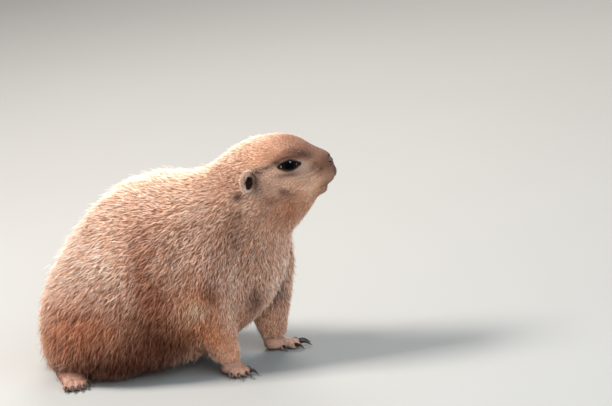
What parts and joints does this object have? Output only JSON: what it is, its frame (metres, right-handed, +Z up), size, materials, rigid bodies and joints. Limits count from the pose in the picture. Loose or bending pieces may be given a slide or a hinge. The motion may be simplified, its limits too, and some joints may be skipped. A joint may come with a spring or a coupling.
{
  "type": "prairie dog",
  "caption": "Life-size still model of a black-tailed prairie dog crouched on all fours, rump down, head reaching forward and tail curled on the floor.",
  "frame": {"origin": "centre of the model's bounding box in plan, at the level of the floor it stands on", "axes": "+X the way the animal faces, +Y its left side, +Z up"},
  "size_m": [0.2422, 0.1394, 0.1607],
  "materials": {
    "coat": "short cinnamon and buff fur with paler and darker tips",
    "foot_coat": "thin pale grey-buff fur over skin, with dark horn claws",
    "tail_coat": "cinnamon fur that turns black towards the tip",
    "nose_skin": "bare grey-brown skin",
    "ear_skin": "thin grey-buff fur over skin",
    "eye": "wet, near-black"
  },
  "bodies": {
    "root": {"head": "coat", "neck": "coat", "torso": "coat", "front_leg_right": "coat", "front_leg_left": "coat", "hind_leg_right": "coat", "hind_leg_left": "coat", "front_foot_right": "foot_coat", "front_foot_left": "foot_coat", "hind_foot_right": "foot_coat", "hind_foot_left": "foot_coat", "tail": "tail_coat", "nose": "nose_skin", "ear_right": "ear_skin", "ear_left": "ear_skin", "eye_right": "eye", "eye_left": "eye"}
  },
  "joints": []
}
